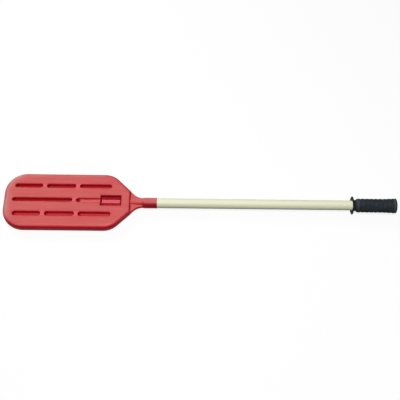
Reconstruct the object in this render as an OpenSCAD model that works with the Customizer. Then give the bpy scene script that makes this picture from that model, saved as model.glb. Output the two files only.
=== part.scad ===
// Livestock sorting paddle: a hollow blow-moulded blade with loose rattle balls inside,
// a fibreglass tube pushed over the blade's spigot, and a ribbed rubber grip.
// +X runs along the tube from the blade to the grip, +Y across the blade, +Z out of its face.
// The origin is on the tube's axis, half way along the paddle.

/* [Overall] */
// Length from the tip of the blade to the end of the grip
total_l = 1067; // [1040:1:1120]

/* [Blade] */
// Length of the thick part, from the tip to the step at the neck
blade_l = 340; // [330:1:360]
// Width across the blade
blade_w = 165; // [158:1:180]
// Thickness from face to face
blade_t = 29; // [27:0.5:33]
// Wall of the blow-moulded shell
wall = 2.5; // [2:0.1:2.8]
// Radius of the two corners at the tip
tip_r = 58; // [48:1:66]
// Radius of the two shoulders, before they run in at 45 degrees
shoulder_r = 52; // [40:1:60]
// Radius of the rounded rim
rim_r = 12; // [8:0.5:13]
// Width across the outline where the thick part ends
step_w = 69.4; // [62:0.2:76]

/* [Grooves] */
// Distance of the outer groove rows from the middle row
row_pitch = 41; // [38:0.5:43]
// Width of a groove where it opens in the face
groove_w = 13.5; // [11:0.5:15]
// Depth of a groove, down to the web that ties the two faces together
groove_d = 12; // [10:0.5:12.5]
// Depth of the shallow groove that runs to the panel
shallow_d = 5; // [3:0.5:6]

/* [Panel] */
// Length of the panel's pocket
panel_l = 57; // [48:1:62]
// Width of the pocket
panel_w = 32; // [26:1:36]
// Depth of the pocket
pocket_d = 11; // [8:0.5:11]
// Length of the bare plate that stands in the pocket
plate_l = 49; // [40:1:50]
// Width of the plate
plate_w = 10.4; // [8:0.2:14]
// Depth of the plate's top below the face
plate_d = 7.4; // [5:0.2:7.6]

/* [Neck] */
// Thickness of the flat webs beside the neck
web_t = 11; // [8:0.5:14]
// Radius of the fillet that draws each web in to the collar
fillet_r = 36; // [28:1:42]
// Length of the collar that the tube butts against
collar_l = 39.2; // [34:0.2:50]
// Diameter of the collar, a little more than the tube's
collar_d = 28.8; // [27.6:0.2:30]
// Length of the spigot inside the tube
spigot_l = 60; // [50:1:80]
// Diameter of the hole through the neck and the spigot
neck_bore = 12.6; // [11:0.2:13.4]

/* [Tube] */
// Outside diameter
tube_d = 26.7; // [26:0.1:27.4]
// Wall of the tube
tube_wall = 3; // [2.5:0.1:3.2]

/* [Grip] */
// Length of the grip, flange to end
grip_l = 124; // [118:1:130]
// Diameter of the flange
flange_d = 50; // [46:0.5:54]
// Thickness of the flange
flange_t = 5.2; // [4:0.2:6]
// Diameter of the waist behind the flange
waist_d = 30.6; // [30:0.2:33]
// Diameter over the ribs beside the waist
rib_d = 38; // [36:0.5:39.5]
// Diameter over the ribs at the end
end_d = 40; // [39:0.5:42]
// Height of a rib above the root between two ribs
rib_h = 1.4; // [0.8:0.1:1.8]
// Number of ribs round the grip
rib_n = 9; // [7:1:11]
// Diameter of the vent hole in the end
vent_d = 4; // [3:0.2:5]

/* [Rattle balls] */
// Diameter of a ball
ball_d = 8; // [7:0.5:9]

/* [Hidden] */
$fn = 96;

// Places along the paddle, measured from the tip of the blade
tip_x = -total_l / 2;
collar_end_x = blade_l + 73.4;
collar_x = collar_end_x - collar_l;
spigot_end_x = collar_end_x + spigot_l;
grip_x = total_l - grip_l;
tube_end_x = total_l - 5.6;
rivet_x = collar_end_x + 22;

// The step at the neck leans: how far its edge in the face stands back, and its run
// from the face to the middle of the blade
step_back = 2;
step_run = 6;

// The 45 degree shoulder line is where x + |y| = shoulder_sum
shoulder_sum = blade_l + step_w / 2;
half_w = blade_w / 2;
shoulder_x = shoulder_sum - half_w - shoulder_r * (sqrt(2) - 1);

// Fits between the pieces
slide_fit = 0.05;
rolling_gap = 0.3;
tube_id = tube_d - 2 * tube_wall;
spigot_d = tube_id - 2 * slide_fit;

// Groove segments, each as [start, end] along the paddle
outer_segments = [[28, 103], [113.5, 193], [203, 290]];
middle_segment = [24, 185];
pit_segment = [195, 207];
shallow_x = 198;
panel_x = blade_l - 79.5;

// The pit is a little narrower and shallower than a groove
pit_w = 0.8 * groove_w;
pit_d = 0.9 * groove_d;

// A deep groove's rib reaches just past the middle of the blade
tie_depth = blade_t / 2 + 0.5;

// Webs: how far they start inside the blade, how little they stand in from its outline,
// the rounding of their edges, and how far from the axis these meet the collar
web_root = 14;
web_inset = 0.4;
web_round = 2;
web_end_y = collar_d / 2 - 1.35;

// Neck barrel, from the blade to the domed shoulder of the collar
barrel_start_d = 17;
barrel_end_d = 22;
dome_l = 5;

// Rivet
rivet_d = 4.8;
rivet_head_d = 9;
rivet_head_h = 2;

// Plug in the mouth of the spigot
plug_flange_t = 3;
plug_stem_l = 12;

// Grip: length of the waist, steps in the curve of a rib, and rounding of the end
waist_l = 8.6;
rib_steps = 6;
end_round = 4;

// A ball rests on the cavity's floor at the tip end of its lane
ball_r = ball_d / 2;
ball_z = -(blade_t / 2 - wall) + ball_r + rolling_gap;
inner_lane_y = panel_w / 2 + wall + ball_r + 2.5;
outer_lane_y = (row_pitch + groove_w / 2 + wall + ball_r + half_w - rim_r) / 2;
inner_ball_x = rim_r + 1;
corner_reach = sqrt(pow(tip_r - rim_r, 2) - pow(outer_lane_y - half_w + tip_r, 2));
outer_ball_x = tip_r - corner_reach + 1;

// Points of an arc about a centre, from angle a to angle b
function arc(c, r, a, b, n) =
    [for (i = [0:n]) c + r * [cos(a + (b - a) * i / n), sin(a + (b - a) * i / n)]];

// The blade's outline moved inwards by d and cut square at x = cut_x
function blade_outline(d, cut_x, n) =
    let (cut_y = shoulder_sum - d * sqrt(2) - cut_x)
    concat(
        arc([tip_r, half_w - tip_r], tip_r - d, 90, 180, n),
        arc([tip_r, tip_r - half_w], tip_r - d, 180, 270, n),
        arc([shoulder_x, shoulder_r - half_w], shoulder_r - d, 270, 315, n / 2),
        [[cut_x, -cut_y], [cut_x, cut_y]],
        arc([shoulder_x, half_w - shoulder_r], shoulder_r - d, 45, 90, n / 2)
    );

// The neck's outline moved inwards by d: 45 degree webs drawn in to the collar by a fillet
function web_outline(d, n) =
    let (
        r = fillet_r + d,
        sum = shoulder_sum - web_inset,
        c_x = sum - web_end_y + fillet_r * (sqrt(2) - 1),
        c_y = web_end_y + fillet_r,
        root_x = blade_l - web_root,
        root_y = sum - d * sqrt(2) - root_x
    )
    concat(
        [[root_x, -root_y]],
        arc([c_x, -c_y], r, 135, 90, n),
        arc([c_x, c_y], r, 270, 225, n),
        [[root_x, root_y]]
    );

// A straight-sided stadium outline, from x = a to x = b, of half width h
function stadium(a, b, h, n) =
    concat(
        arc([a + h, 0], h, 90, 270, n),
        arc([b - h, 0], h, -90, 90, n)
    );

// A rectangle with rounded corners, from x = a to x = b
function round_box(a, b, w, r, n) =
    concat(
        arc([a + r, w / 2 - r], r, 90, 180, n),
        arc([a + r, r - w / 2], r, 180, 270, n),
        arc([b - r, r - w / 2], r, 270, 360, n),
        arc([b - r, w / 2 - r], r, 0, 90, n)
    );

// A closed skin over rings of equal length; each ring is [points, z], lowest ring first.
// An outline with hollow sides is capped in strips from one half of its points to the other.
module skin(rings, hollow_sides = false) {
    n = len(rings[0][0]);
    m = len(rings);
    points = [for (ring = rings) for (p = ring[0]) [p.x, p.y, ring[1]]];
    sides = [
        for (k = [0:m - 2])
            for (i = [0:n - 1])
                let (j = (i + 1) % n)
                    each [
                        [k * n + i, (k + 1) * n + i, k * n + j],
                        [k * n + j, (k + 1) * n + i, (k + 1) * n + j]
                    ]
    ];
    caps = hollow_sides
        ? [for (i = [0:n / 2 - 2]) [i, i + 1, n - 2 - i, n - 1 - i]]
        : [[for (i = [0:n - 1]) i]];
    top_caps = [
        for (cap = caps)
            [for (i = [len(cap) - 1:-1:0]) (m - 1) * n + cap[i]]
    ];
    polyhedron(points = points, faces = concat(sides, caps, top_caps));
}

// Rim angles from the lower face round to the upper one
function rim_angles(n) = concat(
    [for (i = [0:n]) -90 + 90 * i / n],
    [for (i = [0:n]) 90 * i / n]
);

// A slab with a fully rounded rim and a leaning step: d is the inset of the whole slab,
// t its thickness, and cut_x the place of the step's edge in the face
module slab(d, t, r, cut_x, n, steps) {
    skin([
        for (i = [0:2 * steps + 1])
            let (
                a = rim_angles(steps)[i],
                z = (i <= steps ? -1 : 1) * (t / 2 - r) + r * sin(a),
                lean = step_run * (1 - 2 * abs(z) / t)
            )
            [blade_outline(d + r * (1 - cos(a)), cut_x + lean, n), z]
    ]);
}

module web() {
    steps = 3;
    skin([
        for (i = [0:2 * steps + 1])
            let (
                a = rim_angles(steps)[i],
                z0 = (i <= steps ? -1 : 1) * (web_t / 2 - web_round)
            )
            [web_outline(web_round * (1 - cos(a)), 6), z0 + web_round * sin(a)]
    ], hollow_sides = true);
}

// A drafted groove sunk in the upper face: [share of the depth, inset of the sides]
groove_profile = [[1, 4], [0.95, 2.8], [0.8, 1.7], [0, 0], [-0.08, -0.3]];

module groove_cut(segment, w, d) {
    face_z = blade_t / 2;
    side = w / groove_w;
    skin([
        for (level = groove_profile)
            [
                stadium(
                    segment[0] + level[1] * side,
                    segment[1] - level[1] * side,
                    w / 2 - level[1] * side,
                    8
                ),
                face_z - level[0] * d
            ]
    ]);
}

// The same groove seen from inside the cavity: a rib one wall wider all round
module groove_rib(segment, w, reach) {
    top_z = blade_t / 2;
    skin([
        for (level = [[reach, 2.4], [reach * 0.7, 1], [0, 0], [-1, 0]])
            [
                stadium(
                    segment[0] - wall + level[1],
                    segment[1] + wall - level[1],
                    w / 2 + wall - level[1],
                    6
                ),
                top_z - level[0]
            ]
    ]);
}

// The bare panel: a pocket with a raised plate left standing in it
module panel_cut() {
    face_z = blade_t / 2;
    a = panel_x;
    b = panel_x + panel_l;
    draft = 2.4;
    plate_a = panel_x + (panel_l - plate_l) / 2;
    plate_b = plate_a + plate_l;
    difference() {
        skin([
            [round_box(a + draft, b - draft, panel_w - 2 * draft, 2, 3), face_z - pocket_d],
            [round_box(a, b, panel_w, 2, 3), face_z],
            [round_box(a - 0.2, b + 0.2, panel_w + 0.4, 2, 3), face_z + 1]
        ]);
        skin([
            [round_box(plate_a - 1, plate_b + 1, plate_w + 2, 2, 3), face_z - pocket_d - 1],
            [round_box(plate_a, plate_b, plate_w, 1.5, 3), face_z - plate_d]
        ]);
    }
}

module panel_rib() {
    a = panel_x - wall;
    b = panel_x + panel_l + wall;
    w = panel_w + 2 * wall;
    low_z = blade_t / 2 - pocket_d - wall;
    skin([
        [round_box(a + 2, b - 2, w - 4, 3, 3), low_z],
        [round_box(a, b, w, 3, 3), blade_t / 2 + 1]
    ]);
}

// Puts its children in the upper face and, turned over, in the lower face too
module both_faces() {
    children();
    mirror([0, 0, 1]) children();
}

module face_cuts() {
    for (row = [-1, 1])
        translate([0, row * row_pitch, 0])
            for (segment = outer_segments) groove_cut(segment, groove_w, groove_d);
    groove_cut(middle_segment, groove_w, groove_d);
    groove_cut(pit_segment, pit_w, pit_d);
    groove_cut([shallow_x, panel_x + groove_w / 2], groove_w, shallow_d);
    panel_cut();
}

module face_ribs() {
    for (row = [-1, 1])
        translate([0, row * row_pitch, 0])
            for (segment = outer_segments) groove_rib(segment, groove_w, tie_depth);
    groove_rib(middle_segment, groove_w, tie_depth);
    groove_rib(pit_segment, pit_w, tie_depth);
    groove_rib([shallow_x, panel_x + groove_w / 2], groove_w, shallow_d + wall);
    panel_rib();
}

module cavity() {
    difference() {
        slab(wall, blade_t - 2 * wall, rim_r - wall, blade_l - step_back - wall, 8, 3);
        both_faces() face_ribs();
    }
}

// Barrel, domed collar and spigot, turned about the tube's axis
module neck_core() {
    root_x = blade_l - 8;
    dome_x = collar_x + dome_l;
    rotate([0, 90, 0])
        rotate_extrude()
            polygon(concat(
                [
                    [0, root_x],
                    [barrel_start_d / 2, root_x],
                    [barrel_end_d / 2, collar_x]
                ],
                [
                    for (i = [1:5])
                        let (a = 90 * i / 5)
                            [
                                barrel_end_d / 2 + (collar_d - barrel_end_d) / 2 * sin(a),
                                dome_x - dome_l * cos(a)
                            ]
                ],
                [
                    [collar_d / 2, collar_end_x - 0.8],
                    [collar_d / 2 - 0.8, collar_end_x],
                    [spigot_d / 2, collar_end_x],
                    [spigot_d / 2, spigot_end_x - 1.5],
                    [spigot_d / 2 - 1, spigot_end_x],
                    [0, spigot_end_x]
                ]
            ));
}

module neck_bore_cut() {
    start_x = blade_l - wall - 1;
    translate([start_x, 0, 0])
        rotate([0, 90, 0])
            cylinder(d = neck_bore, h = spigot_end_x + 1 - start_x);
}

module rivet_hole() {
    translate([rivet_x, 0, -tube_d / 2 - 1])
        cylinder(d = rivet_d + 0.1, h = tube_d / 2 + 1);
}

module blade_shell() {
    color("indianred")
        translate([tip_x, 0, 0])
            difference() {
                union() {
                    difference() {
                        slab(0, blade_t, rim_r, blade_l - step_back, 14, 6);
                        both_faces() face_cuts();
                    }
                    web();
                    neck_core();
                }
                cavity();
                neck_bore_cut();
                rivet_hole();
            }
}

module spigot_plug() {
    color("black")
        translate([tip_x + spigot_end_x, 0, 0])
            rotate([0, 90, 0])
                difference() {
                    union() {
                        cylinder(d = spigot_d - 1, h = plug_flange_t);
                        translate([0, 0, -plug_stem_l])
                            cylinder(d = neck_bore - 2 * slide_fit, h = plug_stem_l);
                    }
                    translate([0, 0, -plug_stem_l + 2])
                        cylinder(d = neck_bore - 5, h = plug_stem_l + plug_flange_t);
                }
}

// Domed head pulled down on the curve of the tube, shank, and the end set inside the spigot
module neck_rivet() {
    seat_z = -tube_d / 2;
    set_z = -neck_bore / 2 + 1.1;
    head_r = rivet_head_d / 2;
    color("silver")
        translate([tip_x + rivet_x, 0, 0]) {
            difference() {
                translate([0, 0, seat_z])
                    rotate_extrude()
                        polygon(concat(
                            [[0, 1], [0, -rivet_head_h]],
                            [for (i = [1:6]) [head_r * sin(15 * i), -rivet_head_h * cos(15 * i)]],
                            [[head_r, 1]]
                        ));
                rotate([0, 90, 0])
                    cylinder(d = tube_d, h = 2 * rivet_head_d, center = true);
                translate([0, 0, seat_z - rivet_head_h - 1])
                    cylinder(d = 2.2, h = 1.8);
            }
            translate([0, 0, seat_z - 0.3])
                cylinder(d = rivet_d, h = set_z - seat_z + 0.3);
            translate([0, 0, set_z])
                cylinder(d1 = rivet_d + 1.6, d2 = rivet_d - 0.8, h = 2);
        }
}

module shaft_tube() {
    color("lemonchiffon")
        translate([tip_x, 0, 0])
            difference() {
                translate([collar_end_x, 0, 0])
                    rotate([0, 90, 0])
                        difference() {
                            cylinder(d = tube_d, h = tube_end_x - collar_end_x);
                            translate([0, 0, -1])
                                cylinder(d = tube_id, h = tube_end_x - collar_end_x + 2);
                        }
                rivet_hole();
            }
}

// Radius of the grip's skin where its ribs start, at share t of the ribbed length
function rib_crest(t) = (rib_d + (end_d - rib_d) * t) / 2;

module rubber_grip() {
    ribs_x = grip_x + flange_t + waist_l;
    ribs_end = total_l - end_round;
    pitch = (ribs_end - ribs_x) / rib_n;
    bore_r = tube_d / 2 + slide_fit;
    flange_r = flange_d / 2;
    color([0.16, 0.17, 0.18])
        translate([tip_x, 0, 0])
            rotate([0, 90, 0])
                rotate_extrude()
                    polygon(concat(
                        [[bore_r, grip_x]],
                        [[flange_r - 1.2, grip_x], [flange_r, grip_x + 1.2]],
                        [[flange_r, grip_x + flange_t - 1.2], [flange_r - 1.2, grip_x + flange_t]],
                        [[waist_d / 2 + 1, grip_x + flange_t], [waist_d / 2, grip_x + flange_t + 1]],
                        [[waist_d / 2, ribs_x - 1.5]],
                        [
                            for (k = [0:rib_n - 1])
                                for (i = [0:rib_steps - 1])
                                    let (t = (k + i / rib_steps) / rib_n)
                                        [
                                            rib_crest(t) - rib_h * (1 - sin(180 * i / rib_steps)),
                                            ribs_x + (k + i / rib_steps) * pitch
                                        ]
                        ],
                        arc([end_d / 2 - end_round, ribs_end], end_round, 0, 90, 5),
                        [[vent_d / 2, total_l], [vent_d / 2, tube_end_x], [bore_r, tube_end_x]]
                    ));
}

module rattle_ball(x, y) {
    color("gainsboro")
        translate([tip_x + x, y, ball_z])
            sphere(d = ball_d);
}

blade_shell();
spigot_plug();
neck_rivet();
shaft_tube();
rubber_grip();
rattle_ball(outer_ball_x, outer_lane_y);  // rattle_ball_1
rattle_ball(inner_ball_x, inner_lane_y);  // rattle_ball_2
rattle_ball(inner_ball_x, -inner_lane_y);  // rattle_ball_3
rattle_ball(outer_ball_x, -outer_lane_y);  // rattle_ball_4
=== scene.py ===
"""Looks of the livestock sorting paddle: a blow-moulded blade, a fibreglass tube and a rubber grip."""

import math

import bpy
import numpy as np
from mathutils import Matrix, Vector


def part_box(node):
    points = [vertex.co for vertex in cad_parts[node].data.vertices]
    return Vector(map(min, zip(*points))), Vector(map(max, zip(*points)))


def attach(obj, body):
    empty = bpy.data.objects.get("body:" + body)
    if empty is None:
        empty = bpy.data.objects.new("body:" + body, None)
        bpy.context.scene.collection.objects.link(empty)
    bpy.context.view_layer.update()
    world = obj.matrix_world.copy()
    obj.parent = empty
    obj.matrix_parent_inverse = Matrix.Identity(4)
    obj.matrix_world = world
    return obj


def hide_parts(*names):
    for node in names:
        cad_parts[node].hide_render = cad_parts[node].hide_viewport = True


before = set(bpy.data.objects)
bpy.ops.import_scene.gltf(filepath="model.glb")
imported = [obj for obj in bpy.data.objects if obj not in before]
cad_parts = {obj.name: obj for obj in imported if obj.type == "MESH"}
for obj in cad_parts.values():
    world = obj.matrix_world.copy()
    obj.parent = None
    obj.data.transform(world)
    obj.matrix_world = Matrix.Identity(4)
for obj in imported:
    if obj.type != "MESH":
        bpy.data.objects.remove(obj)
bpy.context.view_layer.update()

MM = 0.001

# Places along the paddle are in millimetres from the tip of the blade
BLADE_LOW, BLADE_HIGH = (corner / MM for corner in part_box("blade_shell"))
TUBE_LOW, TUBE_HIGH = (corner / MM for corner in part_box("shaft_tube"))
GRIP_LOW, GRIP_HIGH = (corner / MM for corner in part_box("rubber_grip"))
TIP_X = BLADE_LOW.x
TOTAL_L = GRIP_HIGH.x - TIP_X

# Blade, millimetres
BLADE_L = 340
HALF_W = BLADE_HIGH.y
HALF_T = BLADE_HIGH.z
TIP_R = 58
SHOULDER_R = 52
RIM_R = 12
STEP_W = 69.4
SHOULDER_SUM = BLADE_L + STEP_W / 2
SHOULDER_X = SHOULDER_SUM - HALF_W - SHOULDER_R * (math.sqrt(2) - 1)

# Grooves and panel, millimetres
ROW_Y = {-1: -41.2, 0: 0.7, 1: 42.6}
ROW_W = {-1: 13.8, 0: 11.8, 1: 12.2}
GROOVE_W = 12.9
GROOVE_D = 12
GROOVE_DRAFT = 0.16
OUTER_SEGMENTS = ((28, 103), (113.5, 193), (203, 290))
MIDDLE_SEGMENT = (24, 185)
PIT_SEGMENT = (195, 207)
PIT_W, PIT_D = 0.8 * GROOVE_W, 0.9 * GROOVE_D
SHALLOW_SEGMENT = (198, 267)
SHALLOW_D = 5
PANEL_X, PANEL_L, PANEL_W = 260.5, 57, 32
POCKET_D, POCKET_DRAFT = 11, 0.22
PLATE_L, PLATE_W, PLATE_D = 49, 10.4, 7.4
STEP_BACK, STEP_RUN = 2, 6

# Neck, millimetres
TUBE_R = TUBE_HIGH.z
COLLAR_R = 14.4
COLLAR_END = TUBE_LOW.x - TIP_X
COLLAR_X = COLLAR_END - 39.2
DOME_L = 5
BARREL_ROOT = BLADE_L - 8
BARREL_R = (8.5, 11)
WEB_ROOT = BLADE_L - 14
WEB_HALF_T = 5.5
WEB_ROUND = 2
WEB_INSET = 0.4
WEB_END_Y = COLLAR_R - 1.35
FILLET_R = 36
SPIGOT_END = BLADE_HIGH.x - TIP_X
SPIGOT_R = 10.3

# Softness of the moulded edges, millimetres
LIP_SOFT = 2.4
FLOOR_SOFT = 3.2
JOIN_SOFT = 2.0
GRID_STEP = 1.39

# How pale the lips, floors, plate and neck are painted, against 1 for the faces: above 0 this paleness is painted
# sheen and highlight, below 0 it is painted shade
LIP_SHADE = -0.22
BRIDGE_HIGHLIGHT = 1.9
FLOOR_LIGHT = {-1: 0.3, 0: -0.4, 1: -0.3}
SHALLOW_SHEEN = 0.95
POCKET_SHADE = 0.8
PLATE_SHEEN = 1.5
NECK_SHEEN = 0.9
NEAR_LIP_HIGHLIGHT = 0.55
WALL_SHADE = 0.15
END_SHADOW, END_SHADOW_L = 0.75, 9
CORNER_SHADE, CORNER_Y = -0.8, 4.1


# Pale scuffs round the rim's lip and at the tip: partly wear, partly painted sheen and highlight
LIP_WEAR_AND_SHEEN, LIP_WEAR_AND_SHEEN_D = 0.3, 3
# Painted highlight on the neck's side that faces the light
NECK_HIGHLIGHT = 0.35
TIP_WEAR_GLINT_D, TIP_WEAR_GLINT_X, TIP_WEAR_GLINT_Y = 7, 64, -62

# Distance fields: negative inside, in millimetres


def soft_max(a, b, k):
    """The greater of two fields, with a fillet about k wide where they meet."""
    h = np.clip(0.5 + 0.5 * (a - b) / k, 0, 1)
    return b + (a - b) * h + k * h * (1 - h)


def soft_min(a, b, k):
    return -soft_max(-a, -b, k)


def rounded_slab(outline, z, half_t, r):
    """An outline's field given a thickness, with its edges rounded by r."""
    a = outline + r
    b = np.abs(z) - half_t + r
    return np.hypot(np.maximum(a, 0), np.maximum(b, 0)) + np.minimum(np.maximum(a, b), 0) - r


def blade_outline(x, y):
    side = np.abs(y)
    tip_a = TIP_R - x
    tip_b = side - HALF_W + TIP_R
    tip = np.hypot(np.maximum(tip_a, 0), np.maximum(tip_b, 0)) + np.minimum(np.maximum(tip_a, tip_b), 0) - TIP_R
    along = x - SHOULDER_X
    across = side - HALF_W + SHOULDER_R
    on_arc = (along > 0) & (across > along)
    arc = np.hypot(along, across) - SHOULDER_R
    slope = (x + side - SHOULDER_SUM) / math.sqrt(2)
    return np.maximum(tip, np.where(on_arc, arc, np.maximum(slope, side - HALF_W)))


def web_outline(x, y):
    side = np.abs(y)
    line = SHOULDER_SUM - WEB_INSET
    c_x = line - WEB_END_Y + FILLET_R * (math.sqrt(2) - 1)
    c_y = WEB_END_Y + FILLET_R
    slope = (x + side - line) / math.sqrt(2)
    fillet = FILLET_R - np.hypot(x - c_x, side - c_y)
    edge = np.where(x - c_x < side - c_y, slope, np.where(x < c_x, fillet, side - WEB_END_Y))
    return np.maximum(edge, np.maximum(x - c_x, WEB_ROOT - x))


def stadium(x, y, segment, width):
    """A long groove's outline, with round ends."""
    half = width / 2
    middle = (segment[0] + segment[1]) / 2
    reach = (segment[1] - segment[0]) / 2 - half
    return np.hypot(np.maximum(np.abs(x - middle) - reach, 0), y) - half


def groove(x, y, z, segment, width, depth):
    below = HALF_T - np.abs(z)
    sides = stadium(x, y, segment, width) + GROOVE_DRAFT * below
    return soft_max(sides, below - depth, min(FLOOR_SOFT, 0.4 * depth))


def box_outline(x, y, length, width, corner):
    """The outline of the panel's pocket or plate: a rectangle about the panel's middle."""
    a = np.abs(x - PANEL_X - PANEL_L / 2) - length / 2 + corner
    b = np.abs(y) - width / 2 + corner
    return np.hypot(np.maximum(a, 0), np.maximum(b, 0)) + np.minimum(np.maximum(a, b), 0) - corner


def panel(x, y, z):
    """The bare panel: a pocket with a raised plate left standing in it."""
    below = HALF_T - np.abs(z)
    pocket = soft_max(box_outline(x, y, PANEL_L, PANEL_W, 2) + POCKET_DRAFT * below, below - POCKET_D, 2.0)
    plate = soft_max(box_outline(x, y, PLATE_L, PLATE_W, 1.5) + 0.25 * (PLATE_D - below), PLATE_D - below, 1.2)
    return soft_max(pocket, -plate, 1.5)


def neck(x, y, z):
    """Barrel, domed collar and spigot, turned about the tube's axis."""
    r = np.hypot(y, z)
    share = np.clip((x - BARREL_ROOT) / (COLLAR_X - BARREL_ROOT), 0, 1)
    barrel = np.maximum(r - BARREL_R[0] - (BARREL_R[1] - BARREL_R[0]) * share, np.maximum(BARREL_ROOT - x, x - COLLAR_END))
    a = COLLAR_X + DOME_L - x
    b = r - COLLAR_R + DOME_L
    dome = np.hypot(np.maximum(a, 0), np.maximum(b, 0)) + np.minimum(np.maximum(a, b), 0) - DOME_L
    collar = np.maximum(dome, x - COLLAR_END)
    spigot = np.maximum(r - SPIGOT_R, np.maximum(COLLAR_X - x, x - SPIGOT_END))
    return soft_min(barrel, collar, 1.2), spigot


def face_cuts(x, y, z):
    """Everything sunk in the two faces: the grooves, the pit and the panel."""
    cuts = panel(x, y, z)
    for row in (-1, 1):
        for segment in OUTER_SEGMENTS:
            cuts = np.minimum(cuts, groove(x, y - ROW_Y[row], z, segment, ROW_W[row], GROOVE_D))
    cuts = np.minimum(cuts, groove(x, y - ROW_Y[0], z, MIDDLE_SEGMENT, ROW_W[0], GROOVE_D))
    pit = groove(x, y, z, PIT_SEGMENT, PIT_W, PIT_D)
    shallow = groove(x, y, z, SHALLOW_SEGMENT, GROOVE_W, SHALLOW_D)
    return np.minimum(cuts, soft_min(pit, shallow, 1.5))


def neck_light(normal, low, high):
    """Rises from 0 to 1 as the neck's surface turns from low to high degrees towards the far side."""
    lean = np.degrees(np.arctan2(normal[1], np.abs(normal[2])))
    turned = np.clip((lean - low) / (high - low), 0, 1) * np.clip((80 - lean) / 20, 0, 1)
    return turned * np.clip(1.2 - 1.5 * normal[0], 0, 1)


def painted_light_share(x, y, z, normal):
    """How pale each point is painted: 1 on the faces as painted sheen, more on lips as painted highlight, 0 on the
    sides, less in recesses as painted shade.
    """
    below = HALF_T - np.abs(z)
    cuts = face_cuts(x, y, z)
    in_cut = cuts < 1
    face = np.clip((3.5 - below) / 3.1, 0, 1)
    # Painted shade: the face goes deeper red close to a cut's lip
    lip = LIP_SHADE * np.exp(-(np.maximum(cuts, 0) / 4.0) ** 2)
    share = face * (1 + lip)
    # Painted shade on the walls of the deeper cuts
    share = np.where(in_cut & (below > 3), -WALL_SHADE * np.clip((below - 3) / 3, 0, 1), share)
    # Groove floors: painted light on the near row, painted shade on the other two
    for row, floor in FLOOR_LIGHT.items():
        side = y - ROW_Y[row]
        on_floor = in_cut & (below > GROOVE_D - 1.5) & (np.abs(side) < ROW_W[row] / 2)
        share = np.where(on_floor, floor, share)
        # Painted highlight on the bridges between a row's grooves
        whole = (OUTER_SEGMENTS[0][0], OUTER_SEGMENTS[-1][1]) if row else (MIDDLE_SEGMENT[0], PIT_SEGMENT[1])
        bridge = np.clip(-stadium(x, side, whole, ROW_W[row]) / 2.5, 0, 1) * (below < 1.5)
        share = np.where(bridge > 0, share + (BRIDGE_HIGHLIGHT - share) * bridge * np.clip(cuts, 0, 1), share)
        # Painted shadow across each groove's floor at its left end
        for segment in (OUTER_SEGMENTS if row else (MIDDLE_SEGMENT, PIT_SEGMENT)):
            near_end = (np.abs(side) < ROW_W[row] / 2) & (x > segment[0] - 1) & (x < segment[1])
            shadow_fade = np.clip((segment[0] + END_SHADOW_L - x) / (0.5 * END_SHADOW_L), 0, 1) * np.clip(below - 1.5, 0, 1)
            share = np.where(near_end & in_cut, share - END_SHADOW * shadow_fade, share)
    # Shallow groove: painted shade along its sides, painted sheen on its floor where it faces up
    on_shallow = (stadium(x, y, SHALLOW_SEGMENT, GROOVE_W) < 0.5) & (np.abs(below - SHALLOW_D) < 1.2)
    share = np.where(on_shallow, np.where(np.abs(y) > CORNER_Y, CORNER_SHADE, SHALLOW_SHEEN * np.abs(normal[2])), share)
    # Painted shade in the panel's pocket
    in_pocket = (box_outline(x, y, PANEL_L, PANEL_W, 2) < 0.3) & (below > 1.5)
    share = np.where(in_pocket, -POCKET_SHADE * np.clip((below - 1.5) / 2, 0, 1), share)
    # Painted sheen on the raised plate
    on_plate = (box_outline(x, y, PLATE_L, PLATE_W, 1.5) < 0.3) & (below < PLATE_D + 0.8)
    share = np.where(on_plate, PLATE_SHEEN, share)
    # Painted highlight along the lip of the rim's near side
    near = np.clip((-normal[1] - 0.05) / 0.15, 0, 1) * np.clip((0.65 + normal[1]) / 0.2, 0, 1)
    share = np.where((blade_outline(x, y) > -RIM_R - 1) & (x < BLADE_L), share + NEAR_LIP_HIGHLIGHT * near, share)
    # The neck: painted sheen on the side that faces the light, the shaded copy elsewhere
    on_neck = x > BLADE_L + 2
    return np.where(on_neck, NECK_SHEEN * neck_light(normal, -42, -12), share)


def wear_and_highlight_share(x, y, z, normal):
    """How scuffed and glinting each point is: a little round the rim's lip, more at the blade's tip, which meets the
    ground; partly wear and partly painted sheen and highlight, and on the neck a painted highlight where it faces
    the light.
    """
    below = HALF_T - np.abs(z)
    lip = LIP_WEAR_AND_SHEEN * np.clip((LIP_WEAR_AND_SHEEN_D - below) / 1.2, 0, 1)
    tip = np.clip((TIP_WEAR_GLINT_D - below) / 2, 0, 1) * np.clip((TIP_WEAR_GLINT_X - x) / 25, 0, 1)
    tip *= np.clip((y - TIP_WEAR_GLINT_Y) / 30, 0, 1) * np.interp(-blade_outline(x, y), (1, 5, 10, 13, 24), (0.5, 1, 0.9, 0.4, 0))
    on_rim = (blade_outline(x, y) > -RIM_R) & (x < SHOULDER_X)
    lip *= np.clip(below / 0.5, 0, 1) * on_rim * np.clip(1 + 5 * normal[1], 0, 1)
    rim = np.maximum(lip, tip)
    # On the neck and collar, a painted highlight on the side that faces the light
    collar_highlight = neck_light(normal, -25, 0)
    return np.where(x > COLLAR_X, NECK_HIGHLIGHT * collar_highlight, np.where(x > BLADE_L + 2, NECK_HIGHLIGHT * neck_light(normal, -2, 23), rim))


def blade_field(x, y, z):
    slab = rounded_slab(blade_outline(x, y), z, HALF_T, RIM_R)
    step = BLADE_L - STEP_BACK + STEP_RUN * (1 - np.abs(z) / HALF_T)
    body = soft_max(slab, x - step, LIP_SOFT)
    body = soft_max(body, -face_cuts(x, y, z), LIP_SOFT)
    web = rounded_slab(web_outline(x, y), z, WEB_HALF_T, WEB_ROUND)
    core, spigot = neck(x, y, z)
    body = soft_min(body, web, JOIN_SOFT)
    body = soft_min(body, core, JOIN_SOFT)
    return np.minimum(body, spigot)


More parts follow.
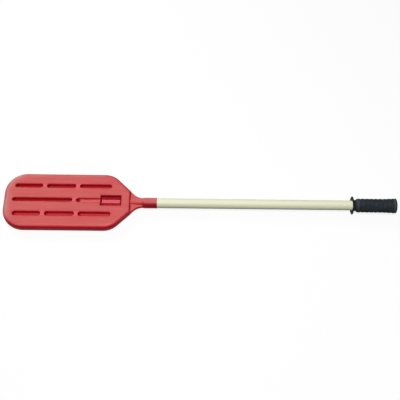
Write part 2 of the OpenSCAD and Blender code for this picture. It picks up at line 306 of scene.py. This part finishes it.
def surface_net(field, low, high, step):
    """A closed quad mesh where a field is zero, one vertex to each grid cell that the surface crosses."""
    counts = [int(math.ceil((b - a) / step)) + 1 for a, b in zip(low, high)]
    axes = [(a + b) / 2 + step * (np.arange(n) - (n - 1) / 2) for a, b, n in zip(low, high, counts)]
    grid = np.meshgrid(*axes, indexing="ij")
    value = field(*grid)
    inside = value < 0
    corners = [(i, j, k) for i in (0, 1) for j in (0, 1) for k in (0, 1)]
    cut = tuple(slice(0, n - 1) for n in counts)
    tally = sum(inside[i:i + n_x, j:j + n_y, k:k + n_z].astype(np.int8)
                for i, j, k in corners for n_x, n_y, n_z in [[n - 1 for n in counts]])
    active = np.argwhere((tally > 0) & (tally < 8))
    at_corner = np.stack([value[tuple((active + c).T)] for c in corners])
    total = np.zeros((len(active), 3))
    crossings = np.zeros(len(active))
    for a, first in enumerate(corners):
        for b, second in enumerate(corners):
            if sum(second) - sum(first) != 1 or sum(abs(p - q) for p, q in zip(first, second)) != 1:
                continue
            crossed = (at_corner[a] < 0) != (at_corner[b] < 0)
            t = np.where(crossed, at_corner[a] / np.where(crossed, at_corner[a] - at_corner[b], 1), 0)
            total += crossed[:, None] * (np.array(first) + t[:, None] * (np.array(second) - np.array(first)))
            crossings += crossed
    origin = np.array([axis[0] for axis in axes])
    points = origin + step * (active + total / crossings[:, None])
    number = np.full([n - 1 for n in counts], -1)
    number[tuple(active.T)] = np.arange(len(active))
    faces = []
    for axis in range(3):
        ahead = np.roll(inside, -1, axis)
        crossed = (inside != ahead)
        crossed[tuple(slice(-1, None) if d == axis else slice(None) for d in range(3))] = False
        edges = np.argwhere(crossed)
        out = inside[tuple(edges.T)]
        u, v = (axis + 1) % 3, (axis + 2) % 3
        quad = []
        for du, dv in ((1, 1), (0, 1), (0, 0), (1, 0)):
            cell = edges.copy()
            cell[:, u] -= du
            cell[:, v] -= dv
            quad.append(number[tuple(cell.T)])
        quad = np.stack(quad, 1)
        faces.append(np.where(out[:, None], quad, quad[:, ::-1]))
    return points, np.concatenate(faces)


def slopes(field, points, reach=0.05):
    return np.stack([
        (field(*(points + reach * side).T) - field(*(points - reach * side).T)) / (2 * reach)
        for side in np.eye(3)
    ], 1)


def settle(field, points, rounds=2):
    """Moves points on to the surface along the field's own slope."""
    for _ in range(rounds):
        slope = slopes(field, points)
        steep = np.maximum((slope ** 2).sum(1), 0.3)
        points = points - slope * (field(*points.T) / steep)[:, None]
    return points


def mesh_object(name, points, faces):
    """A smooth-shaded object from points in millimetres from the tip."""
    mesh = bpy.data.meshes.new(name)
    placed = (np.asarray(points, float) + (TIP_X, 0, 0)) * MM
    faces = np.asarray(faces)
    mesh.vertices.add(len(placed))
    mesh.vertices.foreach_set("co", placed.astype(np.float32).ravel())
    mesh.loops.add(faces.size)
    mesh.loops.foreach_set("vertex_index", faces.astype(np.int32).ravel())
    mesh.polygons.add(len(faces))
    mesh.polygons.foreach_set("loop_start", np.arange(0, faces.size, faces.shape[1], dtype=np.int32))
    mesh.update(calc_edges=True)
    mesh.validate()
    mesh.polygons.foreach_set("use_smooth", np.ones(len(faces), dtype=bool))
    piece = bpy.data.objects.new(name, mesh)
    bpy.context.scene.collection.objects.link(piece)
    return piece


def lathe(name, profile, sides=96):
    """A closed ring turned about the tube's axis from a loop of (x, radius) points."""
    n = len(profile)
    turn = np.linspace(0, 2 * math.pi, sides, endpoint=False)
    points = [(x, r * math.cos(a), r * math.sin(a)) for a in turn for x, r in profile]
    faces = [
        (s * n + i, s * n + (i + 1) % n, (s + 1) % sides * n + (i + 1) % n, (s + 1) % sides * n + i)
        for s in range(sides) for i in range(n)
    ]
    return mesh_object(name, points, faces)


def sharpen(piece, degrees=35):
    """Splits the shading at the piece's hard edges."""
    bpy.context.view_layer.objects.active = piece
    for other in bpy.context.selected_objects:
        other.select_set(False)
    piece.select_set(True)
    bpy.ops.object.shade_smooth_by_angle(angle=math.radians(degrees))
    piece.select_set(False)


# Pieces


def make_blade():
    low = (-3, -HALF_W - 3, -HALF_T - 3)
    high = (SPIGOT_END + 3, HALF_W + 3, HALF_T + 3)
    points, faces = surface_net(blade_field, low, high, GRID_STEP)
    points = settle(blade_field, points)
    piece = mesh_object("blade", points, faces)
    slope = slopes(blade_field, points)
    normal = (slope / np.maximum(np.sqrt((slope ** 2).sum(1)), 0.1)[:, None]).T
    # The share of painted light: sheen on the faces, highlight on lips, painted shade in recesses
    share = piece.data.attributes.new("painted_light", "FLOAT", "POINT")
    share.data.foreach_set("value", painted_light_share(*points.T, normal).astype(np.float32))
    # Scuffs that are partly wear and partly painted sheen and highlight, and the neck's painted highlight
    edge = piece.data.attributes.new("edge", "FLOAT", "POINT")
    edge.data.foreach_set("value", wear_and_highlight_share(*points.T, normal).astype(np.float32))
    return piece


def make_tube():
    start, end = COLLAR_END, TUBE_HIGH.x - TIP_X
    bore = TUBE_R - 3
    edge = 0.35
    profile = [(start, bore), (start, TUBE_R - edge), (start + edge, TUBE_R)]
    steps = 24
    profile += [(start + edge + (end - start - 2 * edge) * i / steps, TUBE_R) for i in range(1, steps + 1)]
    profile += [(end, TUBE_R - edge), (end, bore)]
    return lathe("tube", profile)


def rib_profile(start, end, count, root_low, root_high, height, steps=10):
    """Round ribs between start and end on a skin that swells to a wider radius in its last third."""
    points = []
    for rib in range(count):
        for i in range(steps):
            t = (rib + i / steps) / count
            swell = math.sin(math.pi * i / steps) ** 0.7
            root = root_low + (root_high - root_low) * max(0, (t - 0.7) / 0.3)
            points.append((start + (end - start) * t, root - height * (1 - swell)))
    return points


def arc_points(c_x, c_r, radius, first, last, steps):
    turn = [math.radians(first + (last - first) * i / steps) for i in range(steps + 1)]
    return [(c_x + radius * math.cos(a), c_r + radius * math.sin(a)) for a in turn]


def make_grip():
    start = GRIP_LOW.x - TIP_X
    flange_x, flange_r, flange_t = start + 2.8, GRIP_HIGH.z, 2.0
    waist_r, waist_l = 15.3, 11.2
    ribs_x = flange_x + flange_t + waist_l
    end_r, end_round = 20.4, 0.8
    bore = TUBE_R + 0.05
    vent = 2
    floor_x = TUBE_HIGH.x - TIP_X
    bead = flange_t / 2
    profile = [(flange_x + 0.6, bore)]
    profile += arc_points(flange_x + bead, flange_r - bead, bead, 180, 0, 10)
    profile += arc_points(flange_x + flange_t + 1.5, waist_r + 1.5, 1.5, 180, 270, 4)
    profile += [(ribs_x - 2.5, waist_r), (ribs_x - 0.8, waist_r + 0.6)]
    profile += rib_profile(ribs_x, TOTAL_L - end_round, 9, 19, end_r, 1.1)
    profile += arc_points(TOTAL_L - end_round, end_r - end_round, end_round, 90, 0, 6)
    profile += [(TOTAL_L, vent + 0.8), (TOTAL_L - 0.5, vent), (floor_x, vent), (floor_x, bore)]
    return lathe("grip", profile, 128)


# Materials


def shader(name):
    material = bpy.data.materials.new(name)
    material.use_nodes = True
    tree = material.node_tree
    return material, tree, tree.nodes["Principled BSDF"]


def node(tree, kind, inputs=None, **settings):
    made = tree.nodes.new(kind)
    for key, value in settings.items():
        setattr(made, key, value)
    for key, value in (inputs or {}).items():
        if hasattr(value, "is_output"):
            tree.links.new(value, made.inputs[key])
        else:
            made.inputs[key].default_value = value
    return made


def spread(tree, stretch=(1, 1, 1)):
    """Object coordinates, stretched along the axes."""
    coords = node(tree, "ShaderNodeTexCoord")
    return node(tree, "ShaderNodeMapping", {"Vector": coords.outputs["Object"], "Scale": stretch}).outputs["Vector"]


def noise(tree, vector, scale, detail=3.0, roughness=0.5, distortion=0.0):
    inputs = {"Vector": vector, "Scale": scale, "Detail": detail, "Roughness": roughness, "Distortion": distortion}
    return node(tree, "ShaderNodeTexNoise", inputs).outputs["Fac"]


def ramp(tree, value, low, high, out_low=0.0, out_high=1.0):
    inputs = {"Value": value, "From Min": low, "From Max": high, "To Min": out_low, "To Max": out_high}
    return node(tree, "ShaderNodeMapRange", inputs).outputs["Result"]


def mix_colour(tree, factor, a, b, blend="MIX"):
    made = node(tree, "ShaderNodeMix", data_type="RGBA", blend_type=blend)
    for key, value in ((0, factor), (6, a), (7, b)):
        if hasattr(value, "is_output"):
            tree.links.new(value, made.inputs[key])
        else:
            made.inputs[key].default_value = value
    return made.outputs[2]


def bump(tree, height, strength, distance, normal=None):
    inputs = {"Height": height, "Strength": strength, "Distance": distance}
    if normal is not None:
        inputs["Normal"] = normal
    return node(tree, "ShaderNodeBump", inputs).outputs["Normal"]


def link(tree, output, target, name):
    tree.links.new(output, target.inputs[name])


def stripe(tree, along, start, end, strength):
    """A soft-edged band between two places along the paddle, in metres."""
    soft = 0.3 * (end - start)
    rise = ramp(tree, along, start, start + soft)
    fall = ramp(tree, along, end - soft, end, strength, 0)
    return node(tree, "ShaderNodeMath", {0: rise, 1: fall}, operation="MULTIPLY").outputs[0]


def underside_shade(tree, low, high, strength):
    """Painted shade: rises to a strength as the surface turns down, by the height of its normal."""
    normal = node(tree, "ShaderNodeTexCoord").outputs["Normal"]
    upward = node(tree, "ShaderNodeSeparateXYZ", {"Vector": normal}).outputs["Z"]
    return ramp(tree, upward, low, high, strength, 0)


def blade_plastic():
    material, tree, bsdf = shader("blade_plastic")
    plain = spread(tree)
    flow = spread(tree, (0.12, 1, 1))
    blotch = ramp(tree, noise(tree, plain, 22, 4), 0.3, 0.7)
    # Two copies of the red, both mottled: a deep one for painted shade on the sides, a pale one for the painted
    # sheen of faces that meet the light
    shade_tone = mix_colour(tree, blotch, (0.47, 0.003, 0.014, 1), (0.51, 0.005, 0.018, 1))
    painted_light = mix_colour(tree, blotch, (0.57, 0.084, 0.088, 1), (0.62, 0.106, 0.104, 1))
    tan = ramp(tree, noise(tree, spread(tree, (0.06, 1, 1)), 75, 4, 0.6), 0.45, 0.65, 0, 0.8)
    painted_light = mix_colour(tree, tan, painted_light, (0.540, 0.128, 0.100, 1))
    flush = ramp(tree, noise(tree, spread(tree, (0.08, 1, 1)), 48, 3, 0.5), 0.50, 0.68, 0, 0.6)
    painted_light = mix_colour(tree, flush, painted_light, (0.620, 0.078, 0.104, 1))
    fine = ramp(tree, noise(tree, spread(tree, (0.03, 1, 1)), 300, 3, 0.7), 0.38, 0.62, 0, 0.5)
    painted_light = mix_colour(tree, fine, painted_light, (0.530, 0.082, 0.080, 1))
    streak = ramp(tree, noise(tree, flow, 160, 5, 0.6), 0.52, 0.75, 0, 0.6)
    painted_light = mix_colour(tree, streak, painted_light, (0.66, 0.155, 0.140, 1))
    scuff = ramp(tree, noise(tree, spread(tree, (0.25, 1.6, 1)), 420, 6, 0.75, 0.6), 0.66, 0.80, 0, 0.30)
    painted_light = mix_colour(tree, scuff, painted_light, (0.70, 0.24, 0.22, 1))
    share = node(tree, "ShaderNodeAttribute", attribute_name="painted_light").outputs["Fac"]
    # Painted shade: below a share of 0 the red darkens towards near-black
    shade_tone = mix_colour(tree, ramp(tree, share, -1, 0), (0.25, 0.001, 0.006, 1), shade_tone)
    coords = node(tree, "ShaderNodeTexCoord").outputs["Object"]
    along = node(tree, "ShaderNodeSeparateXYZ", {"Vector": coords}).outputs["X"]
    # Painted shade: darker red on the collar's shaded side
    collar_shade = ramp(tree, along, (TIP_X + COLLAR_X - 2) * MM, (TIP_X + COLLAR_X + 4) * MM, 0, 0.55)
    shade_tone = mix_colour(tree, collar_shade, shade_tone, (0.20, 0.004, 0.012, 1))
    # Painted sheen up to a share of 1, then a painted pink highlight on lips, bridges and plate
    colour = mix_colour(tree, ramp(tree, share, 0, 1), shade_tone, painted_light)
    colour = mix_colour(tree, ramp(tree, share, 1, 2), colour, (0.80, 0.095, 0.140, 1))
    # Scuffs in a greyer pale pink: partly wear, partly painted sheen and highlight
    scrape = ramp(tree, noise(tree, plain, 45, 4, 0.6), 0.3, 0.6, 0.45, 0.80)
    edge = node(tree, "ShaderNodeAttribute", attribute_name="edge").outputs["Fac"]
    wear_and_highlight = node(tree, "ShaderNodeMath", {0: edge, 1: scrape}, operation="MULTIPLY").outputs[0]
    colour = mix_colour(tree, wear_and_highlight, colour, (0.58, 0.28, 0.26, 1))
    link(tree, colour, bsdf, "Base Color")
    link(tree, ramp(tree, noise(tree, plain, 70, 5, 0.6), 0.3, 0.7, 0.36, 0.50), bsdf, "Roughness")
    peel = bump(tree, noise(tree, plain, 520, 3, 0.55), 0.12, 0.0006)
    lines = bump(tree, noise(tree, flow, 240, 4, 0.6), 0.10, 0.0005, peel)
    sag = bump(tree, noise(tree, plain, 26, 1), 0.35, 0.0012, lines)
    link(tree, sag, bsdf, "Normal")
    bsdf.inputs["Specular IOR Level"].default_value = 0.15
    return material


def tube_fibreglass():
    material, tree, bsdf = shader("tube_fibreglass")
    plain = spread(tree)
    strands = noise(tree, spread(tree, (0.02, 1, 1)), 900, 4, 0.6)
    clouds = ramp(tree, noise(tree, spread(tree, (0.3, 1, 1)), 60, 3), 0.3, 0.7)
    colour = mix_colour(tree, ramp(tree, strands, 0.35, 0.65), (0.765, 0.755, 0.54, 1), (0.825, 0.825, 0.62, 1))
    colour = mix_colour(tree, ramp(tree, clouds, 0, 1, 0, 0.35), colour, (0.79, 0.81, 0.56, 1))
    # Painted shade: the tube's underside darker and greener
    colour = mix_colour(tree, underside_shade(tree, -0.2, 0.5, 0.5), colour, (0.52, 0.58, 0.44, 1))
    link(tree, colour, bsdf, "Base Color")
    link(tree, ramp(tree, strands, 0.3, 0.7, 0.48, 0.60), bsdf, "Roughness")
    bsdf.inputs["Specular IOR Level"].default_value = 0.30
    grain = bump(tree, strands, 0.18, 0.0003)
    link(tree, bump(tree, noise(tree, plain, 300, 3), 0.08, 0.0004, grain), bsdf, "Normal")
    return material


def grip_rubber():
    material, tree, bsdf = shader("grip_rubber")
    plain = spread(tree)
    dust = ramp(tree, noise(tree, spread(tree, (0.22, 1, 1)), 90, 5, 0.65), 0.40, 0.70, 0, 0.9)
    colour = mix_colour(tree, dust, (0.014, 0.019, 0.023, 1), (0.030, 0.036, 0.042, 1))
    coords = node(tree, "ShaderNodeTexCoord").outputs["Object"]
    along = node(tree, "ShaderNodeSeparateXYZ", {"Vector": coords}).outputs["X"]
    end_x = GRIP_HIGH.x * MM
    waist_x = GRIP_LOW.x * MM + 0.0105
    clean = ramp(tree, along, waist_x, waist_x + 0.003, 0.8, 0)
    colour = mix_colour(tree, clean, colour, (0.004, 0.006, 0.006, 1))
    # Dust on the first rib; the band near the end is a painted highlight on the end's rim
    first_rib = stripe(tree, along, waist_x + 0.001, waist_x + 0.012, 0.35)
    end_highlight = stripe(tree, along, end_x - 0.009, end_x - 0.002, 0.6)
    dust_and_highlight = node(tree, "ShaderNodeMath", {0: first_rib, 1: end_highlight}, operation="MAXIMUM").outputs[0]
    colour = mix_colour(tree, dust_and_highlight, colour, (0.080, 0.092, 0.096, 1))
    # Painted shade: the grip's underside nearly black
    colour = mix_colour(tree, underside_shade(tree, 0.1, 0.5, 0.7), colour, (0.004, 0.006, 0.006, 1))
    bsdf.inputs["Specular IOR Level"].default_value = 0.10
    link(tree, colour, bsdf, "Base Color")
    link(tree, ramp(tree, noise(tree, plain, 140, 4), 0.3, 0.7, 0.60, 0.80), bsdf, "Roughness")
    grain = bump(tree, noise(tree, plain, 1500, 3, 0.6), 0.30, 0.0003)
    link(tree, bump(tree, noise(tree, plain, 180, 2), 0.15, 0.0006, grain), bsdf, "Normal")
    return material


def dark_plastic():
    material, tree, bsdf = shader("plug_plastic")
    plain = spread(tree)
    colour = mix_colour(tree, noise(tree, plain, 200, 4), (0.020, 0.020, 0.022, 1), (0.034, 0.034, 0.036, 1))
    link(tree, colour, bsdf, "Base Color")
    link(tree, ramp(tree, noise(tree, plain, 300, 3), 0.3, 0.7, 0.40, 0.55), bsdf, "Roughness")
    link(tree, bump(tree, noise(tree, plain, 900, 3), 0.12, 0.0003), bsdf, "Normal")
    return material


def metal(name, tint, low, high, scale):
    material, tree, bsdf = shader(name)
    plain = spread(tree)
    wear = noise(tree, plain, scale, 5, 0.6)
    dark = tuple(0.8 * c for c in tint) + (1,)
    link(tree, mix_colour(tree, ramp(tree, wear, 0.4, 0.7), dark, tint + (1,)), bsdf, "Base Color")
    link(tree, ramp(tree, wear, 0.3, 0.7, low, high), bsdf, "Roughness")
    link(tree, bump(tree, noise(tree, plain, 3 * scale, 3), 0.15, 0.0002), bsdf, "Normal")
    bsdf.inputs["Metallic"].default_value = 1.0
    return material


# Stage: floor, lights and camera


def seen_white(tree, surface, share):
    """Mixes plain white over a surface for what the camera, gloss and glass see of it."""
    path = node(tree, "ShaderNodeLightPath")
    seen = path.outputs["Is Camera Ray"]
    for other in ("Is Glossy Ray", "Is Transmission Ray"):
        seen = node(tree, "ShaderNodeMath", {0: seen, 1: path.outputs[other]}, operation="MAXIMUM").outputs[0]
    factor = node(tree, "ShaderNodeMath", {0: seen, 1: share}, operation="MULTIPLY").outputs[0]
    white = node(tree, "ShaderNodeEmission", {"Color": (1, 1, 1, 1), "Strength": 1.0}).outputs[0]
    return node(tree, "ShaderNodeMixShader", {0: factor, 1: surface, 2: white}).outputs[0]


def make_floor():
    """A plane under the blade's lower face near the tip and the grip's flange, which the paddle lies on."""
    near_x, near_z = TIP_X + RIM_R, -HALF_T
    far_x, far_z = GRIP_LOW.x + 2.6, GRIP_LOW.z
    size = 6.0
    mesh = bpy.data.meshes.new("floor")
    corners = [(-size, -size), (size, -size), (size, size), (-size, size)]
    slope = (far_z - near_z) / (far_x - near_x)
    drop = 0.3
    level = (near_z - drop) * MM - slope * near_x * MM
    mesh.from_pydata([(x, y, level + slope * x) for x, y in corners], [], [(0, 1, 2, 3)])
    floor = bpy.data.objects.new("floor", mesh)
    bpy.context.scene.collection.objects.link(floor)
    material = bpy.data.materials.new("floor_white")
    material.use_nodes = True
    tree = material.node_tree
    tree.nodes.clear()
    path = node(tree, "ShaderNodeLightPath").outputs["Is Camera Ray"]
    tone = mix_colour(tree, path, (0.12, 0.12, 0.12, 1), (1, 1, 1, 1))
    matte = node(tree, "ShaderNodeBsdfDiffuse", {"Color": tone}).outputs[0]
    end = node(tree, "ShaderNodeOutputMaterial")
    tree.links.new(seen_white(tree, matte, 0.87), end.inputs["Surface"])
    mesh.materials.append(material)


def make_world():
    world = bpy.data.worlds.new("studio")
    bpy.context.scene.world = world
    world.use_nodes = True
    tree = world.node_tree
    tree.nodes.clear()
    path = node(tree, "ShaderNodeLightPath")
    seen = path.outputs["Is Camera Ray"]
    for other in ("Is Glossy Ray", "Is Transmission Ray"):
        seen = node(tree, "ShaderNodeMath", {0: seen, 1: path.outputs[other]}, operation="MAXIMUM").outputs[0]
    strength = ramp(tree, seen, 0, 1, AMBIENT, 1.0)
    sky = node(tree, "ShaderNodeBackground", {"Color": (1, 1, 1, 1), "Strength": strength}).outputs[0]
    end = node(tree, "ShaderNodeOutputWorld")
    tree.links.new(sky, end.inputs["Surface"])


def softbox(name, direction, distance, width, height, power):
    """A square lamp that looks at the origin from a direction."""
    lamp = bpy.data.lights.new(name, "AREA")
    lamp.shape = "RECTANGLE"
    lamp.size, lamp.size_y = width, height
    lamp.energy = power
    thing = bpy.data.objects.new(name, lamp)
    bpy.context.scene.collection.objects.link(thing)
    way = Vector(direction).normalized()
    thing.matrix_world = Matrix.Translation(way * distance) @ way.to_track_quat("Z", "Y").to_matrix().to_4x4()


AMBIENT = 0.02
KEY_POWER = 22
FILL_POWER = 47.5


def make_lights():
    softbox("key", (-0.48, 0.66, 0.62), 2.4, 0.8, 0.8, KEY_POWER)
    softbox("fill", (0.0, -0.22, 0.975), 2.4, 0.8, 0.7, FILL_POWER)
    make_world()


def make_camera():
    """Long lens from the front and above, turned and rolled a little as in the photograph."""
    focal_px, picture_px = 716.0, 400
    elevation, azimuth, roll = (math.radians(v) for v in (62.57, -2.903, 3.259))
    target = Vector((-0.0030, 0.0113, 0))
    distance = 1.9571
    back = Vector((
        math.sin(azimuth) * math.cos(elevation),
        -math.cos(azimuth) * math.cos(elevation),
        math.sin(elevation),
    ))
    level = Vector((math.cos(azimuth), math.sin(azimuth), 0))
    upright = back.cross(level)
    right = math.cos(roll) * level + math.sin(roll) * upright
    up = -math.sin(roll) * level + math.cos(roll) * upright
    data = bpy.data.cameras.new("camera")
    data.sensor_width = 36
    data.lens = focal_px / picture_px * data.sensor_width
    camera = bpy.data.objects.new("camera", data)
    bpy.context.scene.collection.objects.link(camera)
    turn = Matrix((right, up, back)).transposed().to_4x4()
    camera.matrix_world = Matrix.Translation(target + back * distance) @ turn
    bpy.context.scene.camera = camera


def dress(piece, material):
    piece.data.materials.clear()
    piece.data.materials.append(material)


def place(piece, cad_node, material):
    """A finer mesh that stands for a CAD node of the paddle."""
    dress(piece, material)
    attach(piece, "paddle")
    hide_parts(cad_node)


def main():
    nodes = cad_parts
    place(make_blade(), "blade_shell", blade_plastic())
    tube = make_tube()
    sharpen(tube)
    place(tube, "shaft_tube", tube_fibreglass())
    grip = make_grip()
    sharpen(grip, 50)
    place(grip, "rubber_grip", grip_rubber())
    dress(nodes["spigot_plug"], dark_plastic())
    dress(nodes["neck_rivet"], metal("rivet_metal", (0.80, 0.81, 0.83), 0.28, 0.42, 400))
    steel = metal("ball_steel", (0.62, 0.62, 0.64), 0.15, 0.30, 300)
    for number in range(1, 5):
        dress(nodes[f"rattle_ball_{number}"], steel)
    make_floor()
    make_lights()
    make_camera()
    bpy.context.scene.view_settings.view_transform = "Standard"


main()
